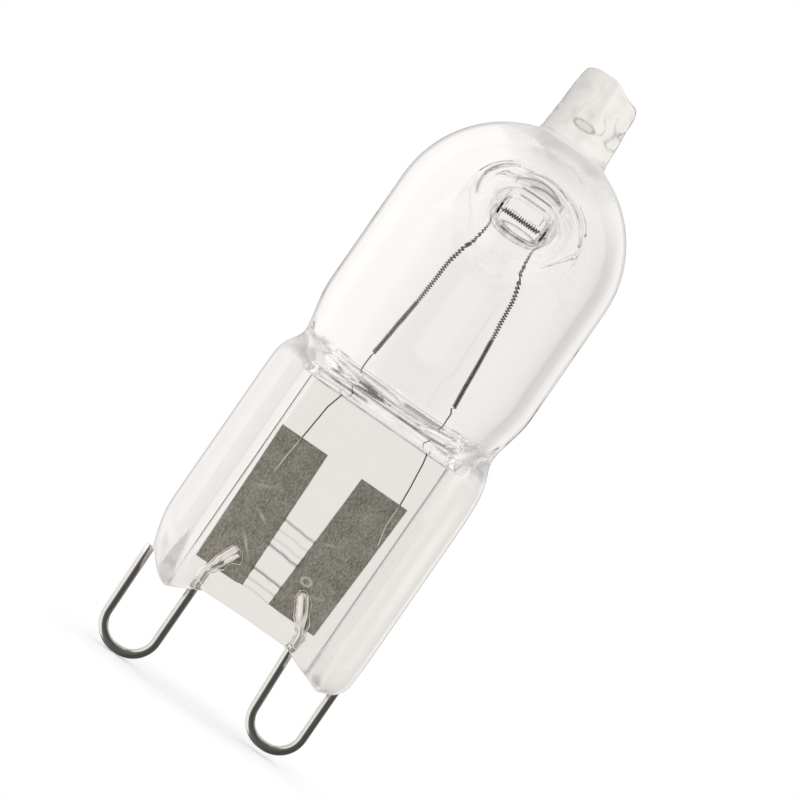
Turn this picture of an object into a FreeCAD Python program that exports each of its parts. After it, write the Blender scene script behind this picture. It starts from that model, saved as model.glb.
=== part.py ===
"""Clear halogen capsule bulb with a pinch seal and two looped contact pins.

Frame: millimetres, +Z along the lamp axis towards the exhaust tip, +X from the left loop to the right loop,
Y through the thickness of the pinch. The origin is midway between the two contact pins,
in the plane where their wires leave the quartz.
"""
import FreeCAD
import Part
import math
import os

Vector = FreeCAD.Vector

# Quartz bulb
BULB_DIAMETER = 12.7
BULB_STRAIGHT = 7.15
WALL = 1.05
SHOULDER_HEIGHT = 4.0
WAIST_WIDTH = 11.77
WAIST_HEIGHT = 14.0
PRESS_LEAD = 0.15

# Exhaust stub left on the crown of the dome
TIP_DIAMETER = 4.0
TIP_TOP_DIAMETER = 3.55
TIP_HEIGHT = 3.7
TIP_OFFSET = 0.09
TIP_SLANT_DEG = 8.0
TIP_EDGE_CHAMFER = 0.35
BORE_DIAMETER = 2.2
BORE_END_DIAMETER = 1.2
BORE_DEPTH = 1.0

# Pressed pinch: a thin web between two thick side rails with feet
PINCH_HEIGHT = 12.4
PINCH_WIDTH = 13.24
WEB_WIDTH = 8.6
WEB_THICKNESS = 2.2
RAIL_THICKNESS = 4.6
RAIL_FLANK = 0.7
FOOT_DROP = 0.95
FLOOR_THICKNESS = 0.75
CAVITY_SLOT_WIDTH = 8.4
CAVITY_SLOT_GAP = 0.7
PRESS_MARK_WIDTH = 0.16
PRESS_MARK_DEPTH = 0.06
PRESS_MARK_PITCH = 1.46
PRESS_MARK_LENGTH = 1.5

# Dents pressed in from front and back, which meet in a quartz pillar round the filament
PILLAR_DIAMETER = 3.1
PILLAR_ABOVE_DOME_CENTRE = 1.9
PILLAR_OFFSET = 0.09
DENT_MOUTH = 6.0
DENT_WALL = 0.6
DENT_FLOOR_GAP = 1.0

# Tungsten filament, its coils drawn as rods of the coil's outer diameter
FILAMENT_WIRE = 0.08
COIL_DIAMETER = 0.27
NECK_DIAMETER = 0.16
COIL_FOOT_ABOVE_FLOOR = 2.0
COIL_LENGTH = 7.2
COIL_FOOT_SPREAD = 5.03
COIL_TOP_SPREAD = 3.75
NECK_SPREAD = 2.95
CROSSING_DROP = 0.4
FOOT_SHIFT = 0.185
NECK_SHIFT = 0.11
FILAMENT_CLEARANCE = 0.02

# Molybdenum sealing foils
FOIL_WIDTH = 2.87
FOIL_LENGTH = 8.1
FOIL_THICKNESS = 0.03
FOIL_FEATHER = 0.35
FOIL_SPREAD = 4.77
FOIL_SHIFT = -0.215
FOIL_BOTTOM = 1.32
LEFT_FOIL_LEAN_DEG = 1.3
RIGHT_FOIL_LEAN_DEG = 2.0
TAIL_OVERLAP = 2.3
LEFT_TAIL_OFFSET = -0.27
RIGHT_TAIL_OFFSET = 1.11
TAIL_SPLAY = 0.2

# Looped contact pins
PIN_SPACING = 9.1
PIN_WIRE = 0.52
LEFT_LOOP_WIDTH = 2.97
RIGHT_LOOP_WIDTH = 2.88
LEFT_LOOP_DROP = 5.28
RIGHT_LOOP_DROP = 5.07
LEFT_FREE_END = 0.41
RIGHT_FREE_END = -0.3
LEFT_END_LEAN = 0.09
RIGHT_LEG_LEAN = 0.28
STUB_BEND_DROP = 0.36
PADDLE_WIDTH = 0.72
PADDLE_THICKNESS = 0.28
PADDLE_OVERLAP = 1.55
LEFT_PADDLE_TURN_DEG = 24.0
RIGHT_PADDLE_TURN_DEG = 30.0
PIN_CLEARANCE = 0.04

# Heights and half sizes that follow from them
bulb_radius = BULB_DIAMETER / 2
cavity_radius = bulb_radius - WALL
shoulder_top = PINCH_HEIGHT + SHOULDER_HEIGHT
dome_centre = shoulder_top + BULB_STRAIGHT
crown = dome_centre + bulb_radius
cavity_floor = PINCH_HEIGHT + FLOOR_THICKNESS
pillar_centre = dome_centre + PILLAR_ABOVE_DOME_CENTRE
pinch_half = PINCH_WIDTH / 2
web_half = WEB_THICKNESS / 2
rail_half = RAIL_THICKNESS / 2
filament_plane = -(FOIL_THICKNESS + FILAMENT_WIRE) / 2
pin_plane = -(FOIL_THICKNESS + PADDLE_THICKNESS) / 2
stub_bend = FOIL_BOTTOM - STUB_BEND_DROP
foil_top = FOIL_BOTTOM + FOIL_LENGTH
crossing_height = pillar_centre - CROSSING_DROP
coil_foot = cavity_floor + COIL_FOOT_ABOVE_FLOOR
coil_top = coil_foot + COIL_LENGTH


def rounded_edges(points, radii, closed):
    """Straight runs through the points, with a tangent arc of the given radius at each corner."""
    count = len(points)
    starts = []
    arcs = []
    ends = []
    for index, point in enumerate(points):
        inner = closed or 0 < index < count - 1
        if not inner or radii[index] == 0:
            starts.append(point)
            arcs.append(None)
            ends.append(point)
            continue
        back = (points[index - 1] - point).normalize()
        ahead = (points[(index + 1) % count] - point).normalize()
        half_angle = back.getAngle(ahead) / 2
        reach = radii[index] / math.tan(half_angle)
        middle = (back + ahead).normalize() * (radii[index] / math.sin(half_angle) - radii[index])
        starts.append(point + back * reach)
        arcs.append(point + middle)
        ends.append(point + ahead * reach)
    edges = []
    for index in range(count):
        if arcs[index] is not None:
            edges.append(Part.Arc(starts[index], arcs[index], ends[index]).toShape())
        if closed or index < count - 1:
            following = starts[(index + 1) % count]
            edges.append(Part.LineSegment(ends[index], following).toShape())
    return edges


def rounded_face(points, radii):
    """Flat face inside a closed outline with rounded corners."""
    return Part.Face(Part.Wire(rounded_edges(points, radii, True)))


def round_wire(points, radii, diameter):
    """Solid round wire: a cylinder for each straight run and a torus piece for each bend."""
    edges = rounded_edges(points, radii, False)
    pieces = []
    for edge in edges:
        start = edge.valueAt(edge.FirstParameter)
        direction = edge.tangentAt(edge.FirstParameter)
        if isinstance(edge.Curve, Part.Line):
            pieces.append(Part.makeCylinder(diameter / 2, edge.Length, start, direction))
            continue
        disc = Part.Face(Part.Wire(Part.Circle(start, direction, diameter / 2).toShape()))
        turn = math.degrees(edge.Length / edge.Curve.Radius)
        pieces.append(disc.revolve(edge.Curve.Center, edge.Curve.Axis, turn))
    return pieces[0].fuse(pieces[1:]).removeSplitter()


def mitred_wire(points, diameter):
    """Solid round wire along straight runs that meet in mitres."""
    path = Part.makePolygon(points)
    section = Part.Wire(Part.Circle(points[0], points[1] - points[0], diameter / 2).toShape())
    return path.makePipeShell([section], True, False, 1)


def flare(side, start, end, narrow, wide):
    """Turned flare that opens slowly and then fast, from one depth to another off the mid plane."""
    knee = 0.55
    knee_depth = start + (end - start) * knee
    knee_radius = narrow + (wide - narrow) * knee ** 2
    away = Vector(0, side, 0)
    lower_centre = Vector(PILLAR_OFFSET, side * start, pillar_centre)
    upper_centre = Vector(PILLAR_OFFSET, side * knee_depth, pillar_centre)
    lower = Part.makeCone(narrow, knee_radius, knee_depth - start, lower_centre, away)
    upper = Part.makeCone(knee_radius, wide, end - knee_depth, upper_centre, away)
    return lower.fuse(upper)


def bulb_body(radius, foot_radius, foot_height, slot_half, lowest):
    """Round tube with a hemispherical top, narrowed at its foot and pressed flat to a slot."""
    edges = [
        Part.Arc(
            Vector(0, 0, dome_centre + radius),
            Vector(radius * math.sqrt(0.5), 0, dome_centre + radius * math.sqrt(0.5)),
            Vector(radius, 0, dome_centre),
        ).toShape(),
        Part.LineSegment(Vector(radius, 0, dome_centre), Vector(radius, 0, shoulder_top)).toShape(),
        Part.LineSegment(Vector(radius, 0, shoulder_top), Vector(foot_radius, 0, foot_height)).toShape(),
        Part.LineSegment(Vector(foot_radius, 0, foot_height), Vector(foot_radius, 0, lowest)).toShape(),
        Part.LineSegment(Vector(foot_radius, 0, lowest), Vector(0, 0, lowest)).toShape(),
        Part.LineSegment(Vector(0, 0, lowest), Vector(0, 0, dome_centre + radius)).toShape(),
    ]
    turned = Part.Face(Part.Wire(edges)).revolve(Vector(0, 0, 0), Vector(0, 0, 1), 360)
    reach = radius - slot_half + PRESS_LEAD
    fall = shoulder_top - lowest
    bulge = Vector(-radius, slot_half + reach * math.sqrt(0.5), shoulder_top - fall * math.sqrt(0.5))
    front = Vector(-radius, slot_half + reach, shoulder_top)
    front_foot = Vector(-radius, slot_half, lowest)
    high = Vector(0, 0, BULB_STRAIGHT + 2 * radius)
    mirror = FreeCAD.Matrix()
    mirror.A22 = -1
    back_foot = mirror.multiply(front_foot)
    back = mirror.multiply(front)
    press = [
        Part.LineSegment(front + high, front).toShape(),
        Part.Arc(front, bulge, front_foot).toShape(),
        Part.LineSegment(front_foot, back_foot).toShape(),
        Part.Arc(back_foot, mirror.multiply(bulge), back).toShape(),
        Part.LineSegment(back, back + high).toShape(),
        Part.LineSegment(back + high, front + high).toShape(),
    ]
    pressed = Part.Face(Part.Wire(press)).extrude(Vector(2 * radius, 0, 0))
    return turned.common(pressed)


def exhaust_tip():
    """Stub of the exhaust tube, melted off with a slanting rounded top."""
    base = crown - 1.2
    height = crown + TIP_HEIGHT - base
    stub = Part.makeCone(
        TIP_DIAMETER / 2, TIP_TOP_DIAMETER / 2, height + 1.0, Vector(TIP_OFFSET, 0, base)
    )
    above = Part.makeBox(20, 20, 10, Vector(-10, -10, 0))
    above.rotate(Vector(0, 0, 0), Vector(0, 1, 0), TIP_SLANT_DEG)
    above.translate(Vector(TIP_OFFSET, 0, crown + TIP_HEIGHT))
    stub = stub.cut(above)
    rim = max(stub.Edges, key=lambda edge: edge.BoundBox.ZMax - edge.BoundBox.ZLength / 2)
    return stub.makeChamfer(TIP_EDGE_CHAMFER, [rim])


def pinch_body():
    """Pressed pinch: the I-shaped section of web and rails, trimmed to its front outline."""
    web_edge = WEB_WIDTH / 2
    crest = web_edge + RAIL_FLANK
    quarter = [(pinch_half, rail_half, 0.7), (crest, rail_half, 0.35), (web_edge, web_half, 0.35)]
    corners = []
    corners += [(x, y, r) for x, y, r in quarter]
    corners += [(-x, y, r) for x, y, r in reversed(quarter)]
    corners += [(-x, -y, r) for x, y, r in quarter]
    corners += [(x, -y, r) for x, y, r in reversed(quarter)]
    lowest = -FOOT_DROP - 1.0
    section = rounded_face([Vector(x, y, lowest) for x, y, r in corners], [r for x, y, r in corners])
    bar = section.extrude(Vector(0, 0, PINCH_HEIGHT + 2.0 - lowest))
    top = PINCH_HEIGHT
    outline = [
        (-pinch_half + 1.1, top + 1.8, 0),
        (-pinch_half + 0.05, top + 0.7, 0.6),
        (-pinch_half - 0.3, top - 3.0, 0),
        (-pinch_half - 0.3, 4.0, 0),
        (-pinch_half + 0.58, 0.4, 1.2),
        (-pinch_half + 1.5, -FOOT_DROP, 0.5),
        (-2.9, 0.0, 0.8),
        (2.6, 0.1, 0.8),
        (pinch_half - 1.2, -FOOT_DROP, 0.6),
        (pinch_half - 0.12, -FOOT_DROP + 0.4, 0.4),
        (pinch_half + 0.3, 6.0, 0),
        (pinch_half + 0.3, top - 2.5, 0),
        (pinch_half - 0.32, top + 0.6, 1.0),
        (pinch_half - 1.0, top + 1.8, 0),
    ]
    trim = rounded_face([Vector(x, -10, z) for x, z, r in outline], [r for x, z, r in outline])
    return bar.common(trim.extrude(Vector(0, 20, 0)))


def dent(side):
    """Trumpet-shaped hollow pressed into one face of the bulb, down to its flat floor."""
    floor_radius = PILLAR_DIAMETER / 2 - DENT_WALL
    return flare(side, DENT_FLOOR_GAP / 2, bulb_radius, floor_radius, DENT_MOUTH / 2)


def pillar():
    """Quartz pillar from the front wall to the back wall, narrowest in the middle."""
    ends = [flare(side, 0, bulb_radius, PILLAR_DIAMETER / 2, DENT_MOUTH / 2 + DENT_WALL) for side in (-1, 1)]
    return ends[0].fuse(ends[1])


def exhaust_bore():
    """What is left of the exhaust tube's bore above the dome, drawn in to its closed end."""
    start = dome_centre + cavity_radius - 0.6
    height = crown + BORE_DEPTH - start
    bore = Part.makeCone(BORE_DIAMETER / 2, BORE_END_DIAMETER / 2, height, Vector(TIP_OFFSET, 0, start))
    end = Part.makeCone(
        BORE_END_DIAMETER / 2, BORE_END_DIAMETER / 4, BORE_END_DIAMETER / 4,
        Vector(TIP_OFFSET, 0, crown + BORE_DEPTH),
    )
    return bore.fuse(end)


def foil(side, lean):
    """Sealing foil: flat in the middle, feathered along both long edges."""
    half = FOIL_WIDTH / 2
    flat = half - FOIL_FEATHER
    thick = FOIL_THICKNESS / 2
    outline = [(-half, 0), (-flat, -thick), (flat, -thick), (half, 0), (flat, thick), (-flat, thick)]
    points = [Vector(x, y, -FOIL_LENGTH / 2) for x, y in outline]
    sheet = rounded_face(points, [0] * len(points)).extrude(Vector(0, 0, FOIL_LENGTH))
    sheet.rotate(Vector(0, 0, 0), Vector(0, 1, 0), side * lean)
    sheet.translate(Vector(side * FOIL_SPREAD / 2 + FOIL_SHIFT, 0, FOIL_BOTTOM + FOIL_LENGTH / 2))
    return sheet


def filament(play):
    """Tungsten wire: tail, coiled leg and neck on each side, joined by the crossing in the pillar."""
    level = filament_plane
    foot = COIL_FOOT_SPREAD / 2
    top = COIL_TOP_SPREAD / 2
    neck = NECK_SPREAD / 2
    pieces = []
    for side, tail_offset in ((-1, LEFT_TAIL_OFFSET), (1, RIGHT_TAIL_OFFSET)):
        foot_x = FOOT_SHIFT + side * foot
        tail_x = side * FOIL_SPREAD / 2 + FOIL_SHIFT + tail_offset
        tail = [
            Vector(foot_x, level, coil_foot + 0.3),
            Vector(foot_x + side * 0.14, level, PINCH_HEIGHT - 0.2),
            Vector(tail_x, level, foil_top),
            Vector(tail_x + side * TAIL_SPLAY, level, foil_top - TAIL_OVERLAP),
        ]
        pieces.append(mitred_wire(tail, FILAMENT_WIRE + 2 * play))
        leg = [
            Vector(foot_x, level, coil_foot),
            Vector(NECK_SHIFT + side * top, level, coil_top),
        ]
        pieces.append(mitred_wire(leg, COIL_DIAMETER + 2 * play))
    crossing = [
        Vector(NECK_SHIFT - top, level, coil_top - 0.5),
        Vector(NECK_SHIFT - top, level, coil_top + 0.2),
        Vector(NECK_SHIFT - neck, level, coil_top + 0.75),
        Vector(NECK_SHIFT - neck, level, crossing_height),
        Vector(NECK_SHIFT + neck, level, crossing_height),
        Vector(NECK_SHIFT + neck, level, coil_top + 0.75),
        Vector(NECK_SHIFT + top, level, coil_top + 0.2),
        Vector(NECK_SHIFT + top, level, coil_top - 0.5),
    ]
    pieces.append(mitred_wire(crossing, NECK_DIAMETER + 2 * play))
    return pieces[0].fuse(pieces[1:])


def contact_pin(side, loop_width, drop, free_end, end_lean, leg_lean, turn, play):
    """Contact pin: flat end on the foil, stub through the quartz, loop and free end."""
    centre = side * PIN_SPACING / 2
    inner = centre - side * loop_width / 2
    outer = centre + side * loop_width / 2
    bottom = -drop + PIN_WIRE / 2
    lean = math.radians(turn)
    stub_x = inner - side * leg_lean
    aim = Vector(-side * math.sin(lean), 0, math.cos(lean))
    bend = Vector(stub_x, pin_plane, stub_bend)
    route = [
        bend + aim * 0.14,
        bend,
        Vector(inner, pin_plane, bottom),
        Vector(outer, pin_plane, bottom),
        Vector(outer + side * end_lean, pin_plane, free_end - PIN_WIRE / 4),
    ]
    bend_radius = 0.485 * loop_width
    wire = round_wire(route, [0, 0.4, bend_radius, bend_radius, 0], PIN_WIRE + 2 * play)
    nose = Part.makeCone(
        PIN_WIRE / 2 + play, PIN_WIRE / 4 + play, PIN_WIRE / 4, route[4], route[4] - route[3]
    )
    paddle_end = (STUB_BEND_DROP + PADDLE_OVERLAP) / math.cos(lean)
    paddle = Part.makeBox(
        PADDLE_WIDTH + 2 * play,
        PADDLE_THICKNESS + 2 * play,
        paddle_end + 2 * play,
        Vector(-PADDLE_WIDTH / 2 - play, -PADDLE_THICKNESS / 2 - play, -play),
    )
    uprights = [edge for edge in paddle.Edges if edge.BoundBox.YLength > PADDLE_THICKNESS / 2]
    upper = [edge for edge in uprights if edge.BoundBox.ZMin > paddle_end / 2]
    paddle = paddle.makeFillet(0.2, upper)
    paddle.rotate(Vector(0, 0, 0), Vector(0, 1, 0), -side * turn)
    paddle.translate(bend)
    return wire.fuse([nose, paddle])


def press_marks():
    """Shallow cross marks that the jaws leave on the front of the web between the foils."""
    marks = []
    for step in range(3):
        height = FOIL_BOTTOM + 1.1 + PRESS_MARK_PITCH * step
        corners = [
            Vector(0, -web_half - 0.1, height - PRESS_MARK_WIDTH),
            Vector(0, -web_half + PRESS_MARK_DEPTH, height),
            Vector(0, -web_half - 0.1, height + PRESS_MARK_WIDTH),
        ]
        mark = rounded_face(corners, [0, 0, 0]).extrude(Vector(PRESS_MARK_LENGTH, 0, 0))
        mark.translate(Vector(FOIL_SHIFT - PRESS_MARK_LENGTH / 2, 0, 0))
        marks.append(mark)
    return marks


def quartz_envelope(inner_pieces):
    """Quartz envelope with its cavity, dents and the room its buried metal needs."""
    outer = bulb_body(bulb_radius, WAIST_WIDTH / 2, WAIST_HEIGHT, web_half, PINCH_HEIGHT)
    outer = outer.fuse([pinch_body(), exhaust_tip()])
    slot_end = CAVITY_SLOT_WIDTH / 2
    slot_half = CAVITY_SLOT_GAP / 2
    cavity = bulb_body(cavity_radius, slot_end, cavity_floor + 0.4, slot_half, cavity_floor)
    cavity = cavity.fuse(exhaust_bore())
    cavity = cavity.cut(pillar())
    hollow = outer.removeSplitter().cut([dent(-1), dent(1), cavity])
    return hollow.cut(inner_pieces + press_marks()).removeSplitter()


left_foil = foil(-1, LEFT_FOIL_LEAN_DEG)
right_foil = foil(1, RIGHT_FOIL_LEAN_DEG)
left_pin_sizes = (-1, LEFT_LOOP_WIDTH, LEFT_LOOP_DROP, LEFT_FREE_END, LEFT_END_LEAN, 0.0, LEFT_PADDLE_TURN_DEG)
right_pin_sizes = (1, RIGHT_LOOP_WIDTH, RIGHT_LOOP_DROP, RIGHT_FREE_END, 0.0, RIGHT_LEG_LEAN, RIGHT_PADDLE_TURN_DEG)
buried = [
    left_foil,
    right_foil,
    contact_pin(*left_pin_sizes, PIN_CLEARANCE),
    contact_pin(*right_pin_sizes, PIN_CLEARANCE),
    filament(FILAMENT_CLEARANCE),
]
nodes = {
    "quartz_envelope": quartz_envelope(buried),
    "filament": filament(0.0),
    "left_foil": left_foil,
    "right_foil": right_foil,
    "left_contact_pin": contact_pin(*left_pin_sizes, 0.0),
    "right_contact_pin": contact_pin(*right_pin_sizes, 0.0),
}

os.makedirs("parts", exist_ok=True)
for name, shape in nodes.items():
    if len(shape.Solids) == 1:
        shape = shape.Solids[0]
    shape.exportStep(f"parts/{name}.step")
    print(name, "valid", shape.isValid(), "solids", len(shape.Solids), "volume", round(shape.Volume, 4))
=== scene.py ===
"""Dressed model of a clear halogen capsule bulb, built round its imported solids."""
import math

import bmesh
import bpy
from mathutils import Matrix, Vector, noise


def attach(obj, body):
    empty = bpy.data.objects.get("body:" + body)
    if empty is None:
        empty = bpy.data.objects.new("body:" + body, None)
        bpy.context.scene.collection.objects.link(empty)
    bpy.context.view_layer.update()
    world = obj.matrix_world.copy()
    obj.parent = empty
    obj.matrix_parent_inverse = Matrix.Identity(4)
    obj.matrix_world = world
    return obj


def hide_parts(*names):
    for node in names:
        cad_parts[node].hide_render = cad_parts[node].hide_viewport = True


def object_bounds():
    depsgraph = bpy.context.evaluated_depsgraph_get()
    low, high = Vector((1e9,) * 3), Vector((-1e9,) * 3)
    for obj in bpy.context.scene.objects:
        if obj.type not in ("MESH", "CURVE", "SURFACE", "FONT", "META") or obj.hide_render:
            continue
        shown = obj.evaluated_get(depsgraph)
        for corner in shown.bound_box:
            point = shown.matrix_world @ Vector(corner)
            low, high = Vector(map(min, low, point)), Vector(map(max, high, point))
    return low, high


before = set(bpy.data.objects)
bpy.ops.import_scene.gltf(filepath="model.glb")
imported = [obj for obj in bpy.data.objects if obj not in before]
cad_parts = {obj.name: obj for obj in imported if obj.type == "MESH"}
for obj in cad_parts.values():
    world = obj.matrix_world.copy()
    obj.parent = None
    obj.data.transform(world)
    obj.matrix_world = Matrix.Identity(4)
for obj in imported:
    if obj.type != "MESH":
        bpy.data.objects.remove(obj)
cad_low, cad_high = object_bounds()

# Filament
# One fine tungsten wire, wound in a coil on each leg and led through the quartz pillar at the top.
# Its straight tails run down through the pinch and are spot welded to the front of the sealing foils.
MM = 0.001
TUNGSTEN_WIRE = 0.08
COIL_RADIUS = 0.098
FILAMENT_PLANE = -0.055
CLOSE_PITCH = 0.105
OPEN_PITCH = 0.155
CROSSING_PITCH = 0.15
CROSSING_RADIUS = 0.11
TURN_STEPS = 12


def edges_of(geometry):
    """Only the edges of a list of mesh elements."""
    return [item for item in geometry if isinstance(item, bmesh.types.BMEdge)]


def verts_of(geometry):
    """Only the vertices of a list of mesh elements."""
    return [item for item in geometry if isinstance(item, bmesh.types.BMVert)]


def start_wire(bm, at, along, radius, sides):
    """First section of a wire, square to its run."""
    turn = along.to_track_quat("Z", "Y").to_matrix().to_4x4()
    made = bmesh.ops.create_circle(bm, segments=sides, radius=radius, matrix=Matrix.Translation(at) @ turn)
    edges = {edge for vert in made["verts"] for edge in vert.link_edges}
    return {"edges": sorted(edges, key=lambda edge: edge.index), "at": at.copy(), "along": along.normalized()}


def carry(bm, wire, at, along, widen=1.0):
    """Draw the wire on to a new place and direction, wider or narrower there."""
    made = bmesh.ops.extrude_edge_only(bm, edges=wire["edges"])
    fresh = set(verts_of(made["geom"]))
    along = along.normalized()
    turn = wire["along"].rotation_difference(along).to_matrix().to_4x4()
    move = Matrix.Translation(at) @ turn @ Matrix.Scale(widen, 4) @ Matrix.Translation(-wire["at"])
    bmesh.ops.transform(bm, matrix=move, verts=list(fresh))
    wire["edges"] = [edge for edge in edges_of(made["geom"]) if set(edge.verts) <= fresh]
    wire["at"] = at.copy()
    wire["along"] = along


def lead_through(bm, wire, points):
    """Draw the wire through a row of points, each section halving the corner there."""
    for index, point in enumerate(points):
        before = point - wire["at"]
        after = points[index + 1] - point if index + 1 < len(points) else before
        carry(bm, wire, point, before.normalized() + after.normalized())


def wind(bm, wire, axis_start, axis_end, pitch, radius):
    """Wind the wire round a straight axis in whole turns."""
    axis = axis_end - axis_start
    turns = max(1, round(axis.length / pitch))
    steps = turns * TURN_STEPS
    start = axis_start + Vector((0, -radius, 0))
    if (start - wire["at"]).length > 0.01:
        carry(bm, wire, start, axis.cross(Vector((0, 1, 0))).normalized() + axis.normalized() * 0.15)
    made = bmesh.ops.spin(
        bm, geom=wire["edges"], cent=axis_start, axis=axis.normalized(), dvec=axis / steps,
        angle=2 * math.pi * turns, steps=steps,
    )
    wire["edges"] = edges_of(made["geom_last"])
    wire["at"] = wire["at"] + axis


def close_end(bm, wire):
    """Close the cut end of a wire."""
    bmesh.ops.contextual_create(bm, geom=wire["edges"])


def in_lamp(x, z):
    """Point in the plane of the filament, in millimetres."""
    return Vector((x, FILAMENT_PLANE, z))


def place_piece(bm, name, material, replaced):
    """Scale a piece whose faces point the right way to metres, make it smooth and fix it to the lamp."""
    bmesh.ops.scale(bm, vec=(MM, MM, MM), verts=bm.verts)
    for face in bm.faces:
        face.smooth = True
    mesh = bpy.data.meshes.new(name)
    bm.to_mesh(mesh)
    bm.free()
    mesh.materials.append(material)
    piece = bpy.data.objects.new(name, mesh)
    bpy.context.scene.collection.objects.link(piece)
    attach(piece, "root")
    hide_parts(replaced)


def finish_piece(bm, name, material, replaced):
    """Turn the faces of a piece outwards and fix it to the lamp."""
    bmesh.ops.recalc_face_normals(bm, faces=bm.faces)
    place_piece(bm, name, material, replaced)


def plug(tree, node, given):
    """Set each named input of a node to a value, or link it to an output."""
    for socket, value in given.items():
        if isinstance(value, bpy.types.NodeSocket):
            tree.links.new(value, node.inputs[socket])
        else:
            node.inputs[socket].default_value = value


def node_out(tree, kind, output, given=()):
    """Named output of a new shader node with its inputs plugged."""
    node = tree.nodes.new("ShaderNode" + kind)
    plug(tree, node, dict(given))
    return node.outputs[output]


def mixed(tree, factor, first, second, kind="MIX"):
    """Two colours mixed or multiplied."""
    node = tree.nodes.new("ShaderNodeMix")
    node.data_type = "RGBA"
    node.blend_type = kind
    plug(tree, node, {"Factor": factor, "A": first, "B": second})
    return node.outputs["Result"]


def new_material(name):
    """New material, its node tree and its surface."""
    material = bpy.data.materials.new(name)
    material.use_nodes = True
    return material, material.node_tree, material.node_tree.nodes["Principled BSDF"]


def height_mask(tree, place, nought_at, one_at, axis="Z", least=0.0):
    """Mask that rises along an axis of the lamp, between two places in millimetres."""
    along = node_out(tree, "SeparateXYZ", axis, {"Vector": place})
    span = {"Value": along, "From Min": nought_at * MM, "From Max": one_at * MM, "To Min": least}
    return node_out(tree, "MapRange", "Result", span)


def drawn_wire_group():
    """Fine lengthwise lines and uneven tarnish that drawing leaves on a metal wire."""
    tree = bpy.data.node_groups.new("drawn_wire", "ShaderNodeTree")
    for name in ("Bright", "Dull"):
        tree.interface.new_socket(name, in_out="INPUT", socket_type="NodeSocketColor")
    for name in ("Line Scale", "Smooth", "Rough"):
        tree.interface.new_socket(name, in_out="INPUT", socket_type="NodeSocketFloat")
    tree.interface.new_socket("Colour", in_out="OUTPUT", socket_type="NodeSocketColor")
    for name in ("Roughness", "Height"):
        tree.interface.new_socket(name, in_out="OUTPUT", socket_type="NodeSocketFloat")
    given = tree.nodes.new("NodeGroupInput").outputs
    place = node_out(tree, "TexCoord", "Object")
    stretched = node_out(tree, "Mapping", "Vector", {"Vector": place, "Scale": (1.0, 1.0, 0.06)})
    fine = {"Vector": stretched, "Scale": given["Line Scale"], "Detail": 3.0}
    lines = node_out(tree, "TexNoise", "Fac", fine)
    tarnish = node_out(tree, "TexNoise", "Fac", {"Vector": place, "Scale": 900.0, "Detail": 4.0})
    span = {"Value": lines, "To Min": given["Smooth"], "To Max": given["Rough"]}
    plug(tree, tree.nodes.new("NodeGroupOutput"), {
        "Colour": mixed(tree, tarnish, given["Bright"], given["Dull"]),
        "Roughness": node_out(tree, "MapRange", "Result", span),
        "Height": lines,
    })
    return tree


def wire_metal(name, bright, dull, line_scale, smooth, rough):
    """Bare drawn metal, polished enough to mirror the room."""
    material, tree, surface = new_material(name)
    marks = tree.nodes.new("ShaderNodeGroup")
    marks.node_tree = drawn_wire
    plug(tree, marks, {
        "Bright": bright, "Dull": dull, "Line Scale": line_scale, "Smooth": smooth, "Rough": rough,
    })
    relief = {"Height": marks.outputs["Height"], "Strength": 0.1, "Distance": 0.000002}
    plug(tree, surface, {
        "Metallic": 1.0,
        "Base Color": marks.outputs["Colour"],
        "Roughness": marks.outputs["Roughness"],
        "Normal": node_out(tree, "Bump", "Normal", relief),
    })
    return material


def painted_shine(material, dull_at, bright_at, colour):
    """Base colour lightened to near white past a height: a painted highlight on the wire inside the quartz.
    """
    tree = material.node_tree
    base = tree.nodes["Principled BSDF"].inputs["Base Color"]
    # Painted highlight mask: nought at dull_at, one at bright_at
    sealed = height_mask(tree, node_out(tree, "TexCoord", "Object"), dull_at, bright_at)
    tree.links.new(mixed(tree, sealed, base.links[0].from_socket, colour), base)


drawn_wire = drawn_wire_group()
tungsten = wire_metal("tungsten", (0.3, 0.285, 0.255, 1), (0.17, 0.16, 0.14, 1), 20000.0, 0.3, 0.5)
# Painted reflection: the tails are lightened to near white below 9.1 mm, where they lie on the foils
painted_shine(tungsten, 9.5, 9.1, (1.0, 0.98, 0.94, 1))

left_tail = [
    in_lamp(-3.0, 8.15), in_lamp(-2.92, 8.98), in_lamp(-2.87, 9.52), in_lamp(-2.69, 11.46),
    in_lamp(-2.48, 12.23), in_lamp(-2.41, 12.7), in_lamp(-2.35, 13.53), in_lamp(-2.33, 15.02),
]
right_tail = [
    in_lamp(2.62, 15.06), in_lamp(2.74, 14.85), in_lamp(2.79, 13.89), in_lamp(2.82, 13.53),
    in_lamp(2.92, 12.36), in_lamp(3.03, 11.87), in_lamp(3.21, 10.35), in_lamp(3.28, 9.39),
    in_lamp(3.28, 8.15), in_lamp(3.52, 7.04),
]
left_leg = [in_lamp(-2.33, 15.18), in_lamp(-1.97, 18.55), in_lamp(-1.76, 21.9), in_lamp(-1.71, 24.35)]
right_leg = [in_lamp(2.7, 15.18), in_lamp(2.33, 19.1), in_lamp(1.99, 22.1), in_lamp(1.93, 24.35)]
leg_pitches = [CLOSE_PITCH, OPEN_PITCH, OPEN_PITCH]
bm = bmesh.new()
wire = start_wire(bm, in_lamp(-3.05, 7.17), Vector((0.05, 0, 1)), TUNGSTEN_WIRE / 2, 8)
close_end(bm, wire)
lead_through(bm, wire, left_tail)
for low, high, pitch in zip(left_leg, left_leg[1:], leg_pitches):
    wind(bm, wire, low, high, pitch, COIL_RADIUS)
lead_through(bm, wire, [in_lamp(-1.66, 24.65), in_lamp(-1.52, 24.93), in_lamp(-1.2, 25.04)])
wind(bm, wire, in_lamp(-1.05, 25.06), in_lamp(1.15, 25.06), CROSSING_PITCH, CROSSING_RADIUS)
lead_through(bm, wire, [in_lamp(1.4, 25.04), in_lamp(1.74, 24.93), in_lamp(1.88, 24.65)])
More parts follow.
